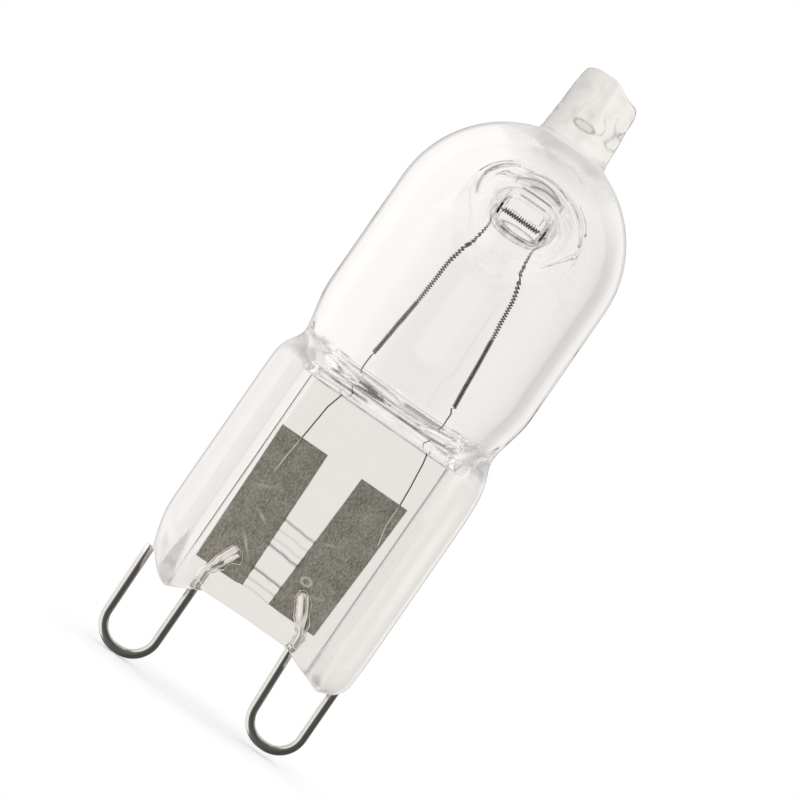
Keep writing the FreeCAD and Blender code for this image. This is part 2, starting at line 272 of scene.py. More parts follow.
for high, low, pitch in zip(right_leg[::-1], right_leg[-2::-1], leg_pitches[::-1]):
    wind(bm, wire, high, low, pitch, COIL_RADIUS)
lead_through(bm, wire, right_tail)
close_end(bm, wire)
finish_piece(bm, "filament_coil", tungsten, "filament")

# Sealing foils
# Two strips of molybdenum foil, thin as paper and etched to a feather along both long edges.
# They are buried in the pinch, where the quartz wets them and seals the lamp.
FOIL_WIDTH = 2.87
FOIL_LENGTH = 8.1
FOIL_HALF_THICKNESS = 0.015
FOIL_BOTTOM = 1.32
CREASE_WIDTH = 0.08
# Strength of the painted highlight beside each crease
CREASE_SHINE = 16.0
BLISTER_HEIGHT = 0.03
RIPPLE = 0.006
FEATHER = 0.12
FOIL_SIDES = 150
FOIL_STEPS = 160
FOIL_SHADES = [(0.36, (0.232, 0.219, 0.178, 1)), (0.64, (0.69, 0.667, 0.588, 1))]
# Near white that the foil turns to along its painted highlight
FOIL_PAINTED_SHINE = (1.0, 0.98, 0.92, 1)


def rim_edges(bm, ring):
    """Edges that join a closed ring of vertices."""
    return [bm.edges.get((ring[index - 1], ring[index])) for index in range(len(ring))]


def next_ring(bm, ring):
    """Extrude a closed ring of vertices and return the new ring in the same order."""
    made = bmesh.ops.extrude_edge_only(bm, edges=rim_edges(bm, ring))
    fresh = set(verts_of(made["geom"]))
    return [next(e.other_vert(v) for e in v.link_edges if e.other_vert(v) in fresh) for v in ring]


def first_ring(bm, sides):
    """Ring of vertices in order round a circle of radius one."""
    made = bmesh.ops.create_circle(bm, segments=sides, radius=1.0)
    return sorted(made["verts"], key=lambda vert: math.atan2(vert.co.y, vert.co.x) % (2 * math.pi))


def worked_out(tree, operation, *given):
    """Result of a sum with values or outputs."""
    node = tree.nodes.new("ShaderNodeMath")
    node.operation = operation
    plug(tree, node, dict(enumerate(given)))
    return node.outputs["Value"]


def vertex_value(tree, name):
    """Value that is kept on the vertices of a piece."""
    node = tree.nodes.new("ShaderNodeAttribute")
    node.attribute_name = name
    return node.outputs["Fac"]


def ramp(tree, value, stops):
    """Colour or grey level by a value, through stops that each have a place and a level."""
    node = tree.nodes.new("ShaderNodeValToRGB")
    elements = node.color_ramp.elements
    elements[0].position = stops[0][0]
    elements[1].position = stops[-1][0]
    for at, level in stops[1:-1]:
        elements.new(at)
    for element, (at, level) in zip(elements, stops):
        element.color = level if isinstance(level, tuple) else (level, level, level, 1)
    plug(tree, node, {"Fac": value})
    return node.outputs["Color"]


def foil_material():
    """Matt grey brown metal with lengthwise rolling grain and cloudy oxide, and a painted highlight beside
    the creases and round the blister.
    """
    material, tree, surface = new_material("foil")
    place = node_out(tree, "TexCoord", "Object")
    stretched = node_out(tree, "Mapping", "Vector", {"Vector": place, "Scale": (1.0, 1.0, 0.4)})
    grain = node_out(tree, "TexNoise", "Fac", {"Vector": stretched, "Scale": 17000.0, "Detail": 5.0})
    clouds = node_out(tree, "TexNoise", "Fac", {"Vector": place, "Scale": 1100.0, "Detail": 4.0})
    both = worked_out(tree, "MULTIPLY_ADD", grain, 0.72, worked_out(tree, "MULTIPLY", clouds, 0.28))
    shade = ramp(tree, both, FOIL_SHADES)
    plug(tree, surface, {
        "Metallic": 0.15,
        # Base colour turns near white along the painted highlight kept on the vertices
        "Base Color": mixed(tree, vertex_value(tree, "painted_light"), shade, FOIL_PAINTED_SHINE),
        "Roughness": node_out(tree, "MapRange", "Result", {"Value": grain, "To Min": 0.42, "To Max": 0.68}),
        "Normal": node_out(tree, "Bump", "Normal", {"Height": both, "Strength": 0.4, "Distance": 0.00001}),
    })
    return material


def sealing_foil(name, middle, lean_deg, replaced, creases, blisters):
    """Foil strip of lens-shaped section, with the small creases and blisters that pressing left in it."""
    bm = bmesh.new()
    # Painted highlight kept on the vertices: a light streak beside each crease and a light ring round the
    # blister
    painted_light = bm.verts.layers.float.new("painted_light")
    ring = first_ring(bm, FOIL_SIDES)
    lean = math.tan(math.radians(lean_deg))
    for step in range(FOIL_STEPS + 1):
        if step:
            ring = next_ring(bm, ring)
        height = FOIL_LENGTH * (step / FOIL_STEPS - 0.5)
        z = FOIL_BOTTOM + FOIL_LENGTH / 2 + height
        for index, vert in enumerate(ring):
            angle = 2 * math.pi * index / FOIL_SIDES
            across = math.cos(angle)
            x = middle + FOIL_WIDTH / 2 * across + height * lean
            thick = FOIL_HALF_THICKNESS * min(1.0, (1.0 - abs(across)) / FEATHER)
            fold = 0.0
            bright = 0.0
            for crease_x, crease_z, long, slope, deep in creases:
                off = (z - crease_z - slope * (x - crease_x)) / math.hypot(1, slope)
                along = math.exp(-((x - crease_x) / long) ** 2)
                fold += deep * along * math.exp(-(off / CREASE_WIDTH) ** 2)
                bright += CREASE_SHINE * abs(deep) * along * math.exp(-((off - 0.05) / CREASE_WIDTH) ** 2)
            for ring_x, ring_z, half_wide, half_high in blisters:
                off = math.hypot((x - ring_x) / half_wide, (z - ring_z) / half_high) - 1
                fold -= BLISTER_HEIGHT * math.exp(-(off / 0.25) ** 2)
                bright += math.exp(-(off / 0.28) ** 2)
            ripple = RIPPLE * noise.noise(Vector((x * 1.3, 7.1, z * 0.8)))
            vert.co = (x, math.copysign(thick, math.sin(angle)) + fold + ripple, z)
            vert[painted_light] = min(1.0, bright)
        if step in (0, FOIL_STEPS):
            bmesh.ops.contextual_create(bm, geom=rim_edges(bm, ring))
    finish_piece(bm, name, molybdenum, replaced)


molybdenum = foil_material()
left_creases = [
    (-2.2, 4.82, 0.26, -0.56, 0.05), (-2.12, 3.15, 0.36, -1.1, 0.05), (-3.1, 6.2, 0.5, 0.4, -0.03),
]
right_creases = [(2.4, 2.9, 0.4, 0.4, 0.035), (1.5, 5.6, 0.5, 0.4, -0.03)]
sealing_foil("left_sealing_foil", -2.6, -1.3, "left_foil", left_creases, [])
sealing_foil("right_sealing_foil", 2.17, 2.0, "right_foil", right_creases, [(1.55, 3.41, 0.27, 0.195)])

# Contact pins
# Two polished molybdenum wires with their inner ends beaten flat and welded to the foils.
# Each leaves the quartz and is bent into a loop that springs into the lampholder.
PIN_RADIUS = 0.26
PIN_PLANE = -0.155
PIN_SIDES = 24
BEND_STEPS = 24
PADDLE_STEPS = 22
PADDLE_HALF_WIDTH = 0.36
PADDLE_HALF_THICKNESS = 0.14
PADDLE_RISE = 1.91
FLAT_SHARE = 0.9
ROUND_FROM = 0.55
PIN_CENTRE = 4.55
BEND_HEIGHT = 0.96
BEND_RADIUS = 0.3
LOOP_ROUND = 0.485
END_ROUND = 0.2


def bend_round(bm, wire, corner, after, radius):
    """Draw the wire up to a corner and bend it round at the given radius."""
    ahead = (corner - wire["at"]).normalized()
    leave = (after - corner).normalized()
    turn = ahead.angle(leave)
    axis = ahead.cross(leave).normalized()
    reach = radius * math.tan(turn / 2)
    carry(bm, wire, corner - ahead * reach, ahead)
    centre = wire["at"] + axis.cross(ahead) * radius
    made = bmesh.ops.spin(bm, geom=wire["edges"], cent=centre, axis=axis, angle=turn, steps=BEND_STEPS)
    wire["edges"] = edges_of(made["geom_last"])
    wire["at"] = corner + leave * reach
    wire["along"] = leave


def pin_route(side, loop_width, drop, free_end, end_lean, leg_lean, turn_deg):
    """Corner points of a contact pin from its flat end to its free end."""
    centre = side * PIN_CENTRE
    inner = centre - side * loop_width / 2
    outer = centre + side * loop_width / 2
    bottom = -drop + PIN_RADIUS
    lean = math.radians(turn_deg)
    aim = Vector((-side * math.sin(lean), 0, math.cos(lean)))
    bend = Vector((inner - side * leg_lean, PIN_PLANE, BEND_HEIGHT))
    return {
        "tip": bend + aim * (PADDLE_RISE / math.cos(lean)),
        "aim": aim,
        "bend": bend,
        "inner": Vector((inner, PIN_PLANE, bottom)),
        "outer": Vector((outer, PIN_PLANE, bottom)),
        "end": Vector((outer + side * end_lean, PIN_PLANE, free_end)),
        "radius": LOOP_ROUND * loop_width,
    }


def step_up(low, high, value):
    """Smooth rise from nought at low to one at high."""
    share = min(1.0, max(0.0, (value - low) / (high - low)))
    return share * share * (3 - 2 * share)


def beaten_size(share):
    """Half width and half thickness of the flat end, from its tip to where it is round wire again."""
    blend = step_up(ROUND_FROM, 1.0, share)
    edge = step_up(-0.06, 0.12, share)
    uneven = 1 + 0.13 * noise.noise(Vector((share * 5.0, 2.7, 0.0)))
    width = PADDLE_HALF_WIDTH * (0.5 + 0.5 * edge) * uneven * (1 - blend) + PIN_RADIUS * blend
    thickness = PADDLE_HALF_THICKNESS * (0.7 + 0.3 * edge) * (1 - blend) + PIN_RADIUS * blend
    return width, thickness


def contact_pin(name, replaced, route):
    """Flat end, stub, loop and rounded free end of one contact pin."""
    bm = bmesh.new()
    down = -route["aim"]
    across = Vector((0, 1, 0)).cross(route["aim"]).normalized()
    length = (route["bend"] - route["tip"]).length * FLAT_SHARE
    ring = first_ring(bm, PIN_SIDES)
    for step in range(PADDLE_STEPS + 1):
        if step:
            ring = next_ring(bm, ring)
        share = step / PADDLE_STEPS
        width, thickness = beaten_size(share)
        middle = route["tip"] + down * (length * share)
        for index, vert in enumerate(ring):
            sideways = math.cos(2 * math.pi * index / PIN_SIDES)
            deep = math.sin(2 * math.pi * index / PIN_SIDES)
            beaten = 1 - step_up(ROUND_FROM, 1.0, share)
            power = 2 + 2 * beaten if deep > 0 else 2 - 0.75 * beaten
            square = (abs(sideways) ** power + abs(deep) ** power) ** (-1 / power)
            dent = 0.05 * noise.noise(Vector((sideways * 2, deep * 2, share * 7)))
            dent *= 1 - step_up(0.8, 1.0, share)
            offset = across * (sideways * square * width * (1 + dent))
            vert.co = middle + offset + Vector((0, deep * square * thickness * (1 + dent), 0))
        if not step:
            bmesh.ops.contextual_create(bm, geom=rim_edges(bm, ring))
    wire = {"edges": rim_edges(bm, ring), "at": middle, "along": down}
    bend_round(bm, wire, route["bend"], route["inner"], BEND_RADIUS)
    bend_round(bm, wire, route["inner"], route["outer"], route["radius"])
    bend_round(bm, wire, route["outer"], route["end"], route["radius"])
    up = wire["along"]
    carry(bm, wire, route["end"] - up * END_ROUND, up)
    size = 1.0
    for rise, share in ((0.08, 0.97), (0.14, 0.86), (0.18, 0.65), (0.2, 0.35)):
        carry(bm, wire, route["end"] - up * (END_ROUND - rise), up, share / size)
        size = share
    close_end(bm, wire)
    finish_piece(bm, name, pin_metal, replaced)


pin_metal = wire_metal("pin_metal", (0.68, 0.665, 0.62, 1), (0.58, 0.565, 0.52, 1), 9000.0, 0.1, 0.2)
# Painted highlight: the pins are lightened to near white above 0.6 mm, where they lie inside the quartz
painted_shine(pin_metal, -0.2, 0.6, (1.0, 0.985, 0.96, 1))
left_route = pin_route(-1, 2.97, 5.28, 0.41, 0.09, 0.0, 24.0)
right_route = pin_route(1, 2.88, 5.07, -0.3, 0.0, 0.28, 30.0)
contact_pin("left_looped_pin", "left_contact_pin", left_route)
contact_pin("right_looped_pin", "right_contact_pin", right_route)

# Quartz envelope
# One piece of clear fused quartz: a tube blown round at the top, pinched flat on its foot while it was soft,
# dented from front and back to hold the filament, and melted off at the exhaust stub.
SIDES = 160
BULB_RADIUS = 6.35
WALL = 1.05
CAVITY_RADIUS = BULB_RADIUS - WALL
DOME_CENTRE = 23.55
SHOULDER_TOP = 16.4
PINCH_TOP = 12.4
CAVITY_FLOOR = 13.22
LEDGE_TURN = 8.0
CAVITY_TURN = 26.0
LEDGE_LOW = 13.0
DRAWN_LOW = 12.3
DRAWN_HIGH = 15.6
WEB_HALF = 1.1
RAIL_HALF = 2.3
RAIL_FOOT = 4.2
RAIL_CREST = 5.2
RAIL_ROUND = 4.6
FOLD_X = 4.3
FOLD_HALF = 0.6
SLOT_HALF = 0.33
STUB_RADIUS = 2.0
STUB_TAPER = 0.0625
STUB_FOOT = 29.6
TIP_HIGH = 33.78
PILLAR_X = 0.09
PILLAR_Z = 25.17
PILLAR_FLATNESS = 0.7
LIP_HANG = 0.3
PILLAR_NARROW = 1.74
PILLAR_WIDE = 3.6
DENT_NARROW = 1.45
DENT_WIDE = 3.0
DENT_FLOOR = 0.5
DENT_STEP = 0.1
DENT_COLUMN_DEG = 39.0
DENT_LOW = 20.4
DENT_HIGH = 28.85
BLEND_RINGS = 14
FOOT_RINGS = 14
SLOT_INSET = 0.65
FLOOR_SAG = 0.22
QUARTZ_INDEX = 1.459
QUARTZ_CLEAR = (0.999, 0.997, 0.994, 1)
QUARTZ_WORKED = (0.925, 0.914, 0.9, 1)
# Near black that the quartz's colour turns to along its painted shade
QUARTZ_PAINTED_SHADE = (0.012, 0.011, 0.009, 1)
HAZE_ROUGHNESS = 0.4

# Half widths by height, down the two sides of the front outline
LEFT_SIDE = [
    (16.6, 6.35), (15.94, 6.25), (14.9, 6.02), (14.3, 5.9), (13.95, 5.88), (13.7, 5.97), (13.36, 6.26),
    (12.84, 6.52), (12.3, 6.59), (11.5, 6.61), (3.2, 6.61), (2.5, 6.58), (1.9, 6.47), (1.47, 6.36),
    (0.96, 6.2), (0.49, 6.03), (0.0, 5.85), (-0.3, 5.7),
]
RIGHT_SIDE = [
    (16.6, 6.35), (15.94, 6.25), (14.9, 6.02), (14.3, 5.9), (13.95, 5.89), (13.6, 5.96), (13.2, 6.16),
    (12.84, 6.3), (12.3, 6.43), (11.8, 6.51), (10.5, 6.58), (1.45, 6.57), (0.4, 6.52), (-0.13, 6.45),
    (-0.4, 6.3),
]

# Heights of the foot by place across, from right to left
FOOT_LINE = [
    (6.6, 0.3), (6.47, -0.2), (6.26, -0.54), (5.72, -0.78), (5.38, -0.9), (4.9, -0.76), (4.19, -0.54),
    (3.57, -0.36), (3.03, -0.1), (2.6, 0.02), (0.0, 0.06), (-2.74, 0.0), (-3.29, -0.23), (-4.11, -0.6),
    (-4.81, -0.88), (-5.2, -0.76), (-5.48, -0.55), (-5.74, -0.25), (-6.05, 0.3),
]

# Polar angle and lift of the rings in the hollow round the foot of the stub
STUB_FILLET = ((18.1, 0.15), (18.4, 0.09), (18.9, 0.045), (19.5, 0.02), (20.3, 0.005), (21.1, 0.0))

# Height, depth and width of the cross lines on the web
PRESS_LINES = (
    (5.35, 0.09, 0.07), (4.81, 0.035, 0.06), (4.3, 0.035, 0.06), (3.88, 0.1, 0.08), (2.46, 0.1, 0.09),
    (1.9, 0.05, 0.06), (1.45, 0.04, 0.05),
)

# Middle across and up, bend, half length, width and darkness of the level lines of painted shade: pillar,
# crescent, ledge
LEVEL_SHADE_LINES = (
    (0.1, 24.19, -0.02, 1.3, 0.05, 1.0), (0.05, 26.14, 0.0, 0.85, 0.035, 0.9),
    (0.05, 26.42, 0.03, 0.95, 0.04, 1.0), (0.05, 27.08, 0.27, 1.35, 0.045, 1.0),
    (0.35, 26.82, 0.24, 0.95, 0.08, 1.0), (0.15, 27.38, 0.2, 1.3, 0.045, 0.85),
    (0.1, 13.55, -0.02, 3.7, 0.07, 0.8), (0.1, 13.36, -0.012, 3.6, 0.05, 0.5),
    (0.3, 13.12, -0.009, 3.9, 0.08, 0.95), (-2.6, 12.87, 0.0, 1.5, 0.1, 0.9),
    (-2.7, 12.64, 0.03, 1.4, 0.07, 0.75), (0.0, 12.37, 0.0, 4.1, 0.05, 0.8),
    (3.5, 12.96, 0.0, 0.3, 0.08, 0.95), (3.3, 13.2, 0.25, 0.9, 0.06, 0.8),
)

# The same for the upright lines of painted shade beside the pillar
UPRIGHT_SHADE_LINES = (
    (-1.27, 25.2, 0.0, 0.85, 0.04, 0.7), (-1.06, 25.2, 0.0, 0.7, 0.03, 0.75),
    (1.23, 25.2, 0.0, 0.7, 0.03, 0.75), (1.45, 25.2, 0.0, 0.85, 0.04, 0.7),
    (-1.3, 26.55, -0.3, 0.2, 0.05, 1.0), (1.42, 26.5, 0.3, 0.2, 0.05, 1.0),
)

# Middle, half width, half height and darkness of the oval rings of painted shade: under the pillar and round
# the tip's bubble
SHADE_OVALS = ((0.27, 24.5, 0.95, 0.18, 0.95), (-0.055, 30.855, 0.6, 0.235, 0.8))


def soft_min(first, second, width):
    """The smaller of two values, rounded over where they are close."""
    near = max(width - abs(first - second), 0.0) / width
    return min(first, second) - near * near * width / 4


def along_line(pairs, at):
    """Value at a place on a falling outline, straight from point to point."""
    for (z_high, v_high), (z_low, v_low) in zip(pairs, pairs[1:]):
        if at >= z_low:
            share = min(1.0, max(0.0, (z_high - at) / (z_high - z_low)))
            return v_high + (v_low - v_high) * share
    return pairs[-1][1]


def eased(pairs, at):
    """Outline value with its corners rounded off."""
    return sum(along_line(pairs, at + offset) for offset in (-0.3, -0.15, 0.0, 0.15, 0.3)) / 5


def half_width(cosine, z):
    """Half width of the outer surface on the side a column lies."""
    return eased(RIGHT_SIDE if cosine > 0 else LEFT_SIDE, z)


def pinch_depth(x, reach):
    """Half thickness of the pinch: a thin web between thick rails with rounded outer edges."""
    rail = WEB_HALF + (RAIL_HALF - WEB_HALF) * step_up(RAIL_FOOT, RAIL_CREST, abs(x))
    edge = min(1.0, max(0.0, (abs(x) - RAIL_ROUND) / max(0.1, reach - RAIL_ROUND)))
    return rail * (1 - edge ** 3) ** (1 / 3)


def shoulder_depth(sine, z, radius, foot_half, floor, turn):
    """Half depth of the bulb where it is squeezed flat; a higher turn gives a tighter corner."""
    fall = min(1.0, max(0.0, (SHOULDER_TOP - z) / (SHOULDER_TOP - floor)))
    flat = foot_half + (radius - foot_half) * max(0.0, 1 - fall ** turn) ** 0.42
    return flat * abs(sine)


def waver(x, z, side):
    """Slow unevenness of hot pressed quartz."""
    slow = noise.noise(Vector((x * 0.35, side * 3.0, z * 0.3)))
    return 0.035 * slow + 0.012 * noise.noise(Vector((x, side * 5.0, z)))


def press_lines(x, z):
    """Cross lines left on the web by the jaws, between the foils."""
    depth = 0.0
    for line_z, deep, wide in PRESS_LINES:
        wander = 0.05 * x + 0.09 * noise.noise(Vector((x * 1.6, line_z, 4.0)))
        depth += deep * math.exp(-((z - line_z + wander) / wide) ** 2)
    return depth * step_up(-1.7, -1.0, x) * (1 - step_up(0.5, 1.1, x))


def outer_point(index, z):
    """Point of the outer surface below the dome, on a given column."""
    angle = 2 * math.pi * index / SIDES
    cosine = math.cos(angle)
    sine = math.sin(angle)
    side = -1 if sine < 0 else 1
    reach = half_width(cosine, z)
    x = reach * cosine
    if z >= SHOULDER_TOP + 0.2:
        return Vector((x, reach * sine, z))
    rails = pinch_depth(x, reach)
    depth = rails
    if z > PINCH_TOP:
        ledge = shoulder_depth(sine, z, reach, WEB_HALF, PINCH_TOP, LEDGE_TURN)
        ledge = max(ledge, rails * (1 - step_up(LEDGE_LOW, 14.6, z)))
        drawn = rails + max(0.0, reach * abs(sine) - rails) * step_up(DRAWN_LOW, DRAWN_HIGH, z)
        fold = FOLD_X + max(0.0, z - LEDGE_LOW)
        depth = ledge + (drawn - ledge) * step_up(fold - FOLD_HALF, fold + FOLD_HALF, abs(x))
    keen = min(1.0, abs(sine) * 4)
    depth += waver(x, z, side) * keen * (1 - step_up(LEDGE_LOW, 16.0, z))
    if side < 0 and z < PINCH_TOP:
        depth -= press_lines(x, z)
    return Vector((x, side * max(depth, 0.0) if abs(sine) > 1e-6 else 0.0, z))


def tip_top(x):
    """Height of the melted top of the exhaust stub."""
    return TIP_HIGH - 0.52 * step_up(-0.3, 1.3, x) - 0.05 * step_up(0.9, 1.7, -x)


def tip_ridge(x, z):
    """Thin wandering wrinkles on the front of the melted tip, strongest on its right."""
    wander = noise.noise(Vector((x * 1.5, 3.0, z * 1.2)))
    right = step_up(0.1, 0.9, x)
    left = 0.4 * step_up(-1.3, -0.9, x) * step_up(31.1, 31.4, z) * (1 - right)
    tall = step_up(30.4, 30.7, z) * (1 - step_up(31.9, 32.4, z))
    return math.exp(-(wander / 0.07) ** 2) * max(right, left) * tall


def tip_wrinkle(angle, z):
    """Lumps and creases where the stub was melted off, deepest on the right of the front."""
    lumps = 0.05 * noise.noise(Vector((math.cos(angle) * 2.2, math.sin(angle) * 2.2, z * 1.3)))
    crease = tip_ridge(PILLAR_X + 1.9 * math.cos(angle), z) if angle > math.pi else 0.0
    return lumps * step_up(30.0, 30.8, z) - 0.08 * crease


def tip_point(radius, drop):
    """Rule for a ring on the melted top, a radius out and a drop below its surface."""
    def place(index):
        angle = 2 * math.pi * index / SIDES
        x = radius * math.cos(angle)
        return Vector((PILLAR_X + x, radius * math.sin(angle), tip_top(x) - drop))
    return place


def stub_point(z, share):
    """Rule for a ring up the side of the stub, its top slanting with the melted end."""
    def place(index):
        angle = 2 * math.pi * index / SIDES
        radius = STUB_RADIUS - STUB_TAPER * (z - STUB_FOOT) + tip_wrinkle(angle, z)
        x = radius * math.cos(angle)
        high = z + (tip_top(x) - 33.3) * share
        return Vector((PILLAR_X + x, radius * math.sin(angle), high))
    return place


def dome_point(radius, polar, centre_x=0.0):
    """Rule for a ring of a dome at an angle from the lamp axis."""
    def place(index):
        angle = 2 * math.pi * index / SIDES
        flat = radius * math.sin(polar)
        high = DOME_CENTRE + radius * math.cos(polar)
        return Vector((centre_x + flat * math.cos(angle), flat * math.sin(angle), high))
    return place


def column_rule(point_on, z):
    """Rule for a ring at one height of the outer surface or the cavity."""
    def place(index):
        return point_on(index, z)
    return place


def spaced(high, low, gap):
    """Heights from high down to low, about a gap apart."""
    count = max(1, round((high - low) / gap))
    return [high + (low - high) * step / count for step in range(1, count + 1)]


def draw_rings(bm, rules):
    """Closed top and the rings below it, each placed by a rule, and return the last ring."""
    ring = first_ring(bm, SIDES)
    for number, place in enumerate(rules):
        if number:
            ring = next_ring(bm, ring)
        for index, vert in enumerate(ring):
            vert.co = place(index)
        if not number:
            bmesh.ops.contextual_create(bm, geom=rim_edges(bm, ring))
    return ring


def close_flat(bm, ring, lift):
    """Close a pinched foot by drawing its rim in to the mid plane."""
    rim = [vert.co.copy() for vert in ring]
    for share, drop in ((0.93, 0.12), (0.8, 0.18), (0.4, 0.2), (0.0, 0.2)):
        ring = next_ring(bm, ring)
        for point, vert in zip(rim, ring):
            vert.co = Vector((point.x, point.y * share, point.z - drop * lift))
    bmesh.ops.remove_doubles(bm, verts=ring, dist=0.0005)


def bulb_depth(radius, x, z):
    """Depth of the round bulb in front of a point of the mid plane."""
    above = max(0.0, z - DOME_CENTRE)
    return math.sqrt(max(0.01, radius * radius - x * x - above * above))


def lip_hang(flat, share):
    """How much further a dent's lip reaches below its middle than above it."""
    return 1 + LIP_HANG * min(1.0, share) * step_up(-0.3, 0.9, -flat.normalized().y)


def hook_radius(around):
    """Distance of the hooked fold from the middle of the dent, by the angle round it in degrees."""
    return 3.45 - 0.0098 * (around - 122)


def lip_fold(flat):
    """Ridges that stand on the lip of the front dent: a crescent over it and a hook on its left."""
    around = math.degrees(math.atan2(flat.y, flat.x)) % 360
    crescent = step_up(52, 68, around) * (1 - step_up(112, 128, around))
    hook = step_up(112, 124, around) * (1 - step_up(184, 196, around))
    ridge = 0.05 * crescent * math.exp(-((flat.length - 2.5) / 0.2) ** 2)
    return ridge + 0.08 * hook * math.exp(-((flat.length - hook_radius(around) + 0.22) / 0.22) ** 2)


def trumpet_point(flat, side, radius, start, share):
    """Point of the trumpet at an offset from its axis, blended into the bulb at its mouth."""
    x = PILLAR_X + flat.x
    z = PILLAR_Z + flat.y * PILLAR_FLATNESS * lip_hang(flat, share)
    lower = step_up(0.0, 0.9, -flat.normalized().y)
    depth = soft_min(start + (BULB_RADIUS - start) * share, bulb_depth(radius, x, z), 1.6 + 1.2 * lower)
    if side < 0 and radius == BULB_RADIUS:
        depth += lip_fold(flat)
    return Vector((x, side * depth, z))


def cut_window(bm, side):
    """Take out the wall where a dent goes, and return the window's rim in order."""
    def inside(vert):
        off = math.degrees(math.atan2(vert.co.x, side * vert.co.y))
        return abs(off) < DENT_COLUMN_DEG and DENT_LOW < vert.co.z < DENT_HIGH
    faces = [face for face in bm.faces if all(inside(vert) for vert in face.verts)]
    bmesh.ops.delete(bm, geom=faces, context="FACES")
    rim = [edge for edge in bm.edges if edge.is_boundary and side * edge.verts[0].co.y > 1.0]
    ring = [rim[0].verts[0]]
    while True:
        last = ring[-1]
        ahead = [e.other_vert(last) for e in last.link_edges if e.is_boundary]
        fresh = [vert for vert in ahead if vert not in ring]
        if not fresh:
            return ring
        ring.append(fresh[0])


def dent_run(bm, side, radius, narrow, wide, start, square, shares):
    """Draw the wall in from a window to the oval trumpet of a dent or pillar, and return the last ring."""
    ring = cut_window(bm, side)
    outer = []
    for vert in ring:
        flat = Vector((vert.co.x - PILLAR_X, (vert.co.z - PILLAR_Z) / PILLAR_FLATNESS))
        outer.append(Vector((flat.x, flat.y / lip_hang(flat, 1.0))))
    mouth = narrow + (wide - narrow) * shares[0] ** 2
    for step in range(1, BLEND_RINGS):
        ring = next_ring(bm, ring)
        for vert, rim in zip(ring, outer):
            flat = rim.lerp(rim.normalized() * mouth, step / BLEND_RINGS)
            share = math.sqrt(max(0.0, (flat.length - narrow) / (wide - narrow)))
            vert.co = trumpet_point(flat, side, radius, start, share)
    for share in shares:
        ring = next_ring(bm, ring)
        reach = narrow + (wide - narrow) * share ** 2
        for vert, rim in zip(ring, outer):
            way = rim.normalized()
            corner = (abs(way.x) ** 4 + abs(way.y) ** 4) ** 0.25
            shape = 1 + (1 / corner - 1) * square * max(0.0, 1 - share)
            vert.co = trumpet_point(way * reach * shape, side, radius, start, share)
    return ring


def floor_mark(x, z):
    """Height of the marks that the dent tool left on the bottom of a dent: a plate and an oval."""
    wide = step_up(-1.02, -0.94, x) * step_up(-1.03, -0.95, -x)
    tall = step_up(25.24, 25.32, z) * step_up(-26.04, -25.96, -z)
    round_off = math.hypot((x - 0.27) / 1.0, (z - 24.47) / 0.19)
    return 0.07 * wide * tall + 0.07 * (1 - step_up(0.75, 1.05, round_off))


def dent_floor(bm, ring, side):
    """Close the bottom of a dent and press the tool marks into it."""
    middle = Vector((PILLAR_X, 0, PILLAR_Z))
    rim = [vert.co - middle for vert in ring]
    for inward in [0.985 - 0.025 * step for step in range(26)] + [0.3, 0.22, 0.14, 0.06]:
        ring = next_ring(bm, ring)
        for flat, vert in zip(rim, ring):
            x = middle.x + flat.x * inward
            z = middle.z + flat.z * inward
            deep = DENT_FLOOR + DENT_STEP * step_up(0.8, 1.0, inward) - floor_mark(x, z)
            vert.co = Vector((x, side * deep, z))
    bmesh.ops.contextual_create(bm, geom=rim_edges(bm, ring))


def stroke_shade(along, off, half, width, dark):
    """Painted shade of one line, at a place along it from its middle and off its line."""
    return dark * math.exp(-(off / width) ** 2) * (1 - step_up(half - 0.15, half + 0.05, abs(along)))


def painted_line_shade(x, z):
    """How dark the painted shade is at a place on the front: along the dent's folds and hook, across the
    ledge and on the tip.
    """
    shade = 0.0
    for middle, high, bend, half, width, dark in LEVEL_SHADE_LINES:
        along = x - middle
        shade = max(shade, stroke_shade(along, z - high + bend * along * along, half, width, dark))
    for across, middle, bend, half, width, dark in UPRIGHT_SHADE_LINES:
        along = z - middle
        shade = max(shade, stroke_shade(along, x - across - bend * along * along, half, width, dark))
    flat = Vector((x - PILLAR_X, (z - PILLAR_Z) / PILLAR_FLATNESS))
    around = math.degrees(math.atan2(flat.y, flat.x)) % 360
    hook = step_up(118, 150, around) * (1 - step_up(188, 196, around))
    shade = max(shade, 0.95 * hook * math.exp(-((flat.length - hook_radius(around)) / 0.07) ** 2))
    for oval_x, oval_z, half_wide, half_high, dark in SHADE_OVALS:
        off = math.hypot((x - oval_x) / half_wide, (z - oval_z) / half_high) - 1
        patchy = 0.85 + 0.3 * noise.noise(Vector((x * 3.0, 5.0, z * 3.0)))
        shade = max(shade, dark * patchy * math.exp(-(off / 0.18) ** 2))
    return shade


def quartz_painted_shade(point):
    """Painted shade on the front of the outer surface: press lines, dent folds, ledge and tip wrinkles; also
    random darker blotches on the tip.
    """
    if point.y > -0.3:
        return 0.0
    if point.z < PINCH_TOP - 0.2:
        # Painted shade in the press lines of the web
        return min(1.0, 9.0 * press_lines(point.x, point.z))
    folds = painted_line_shade(point.x, point.z)
    if point.z < DENT_LOW:
        patchy = 0.9 + 0.5 * noise.noise(Vector((point.x * 1.3, 6.0, point.z * 3.0)))
        return min(1.0, max(0.0, patchy) * folds)
    if point.z < DENT_HIGH:
        return folds
    blotch = 0.4 * noise.noise(Vector((point.x * 1.7, 1.0, point.z * 1.7)))
    wrinkle = 0.65 * tip_ridge(point.x, point.z)
    return min(1.0, max(0.0, blotch, wrinkle, folds) * step_up(30.2, 30.6, point.z))


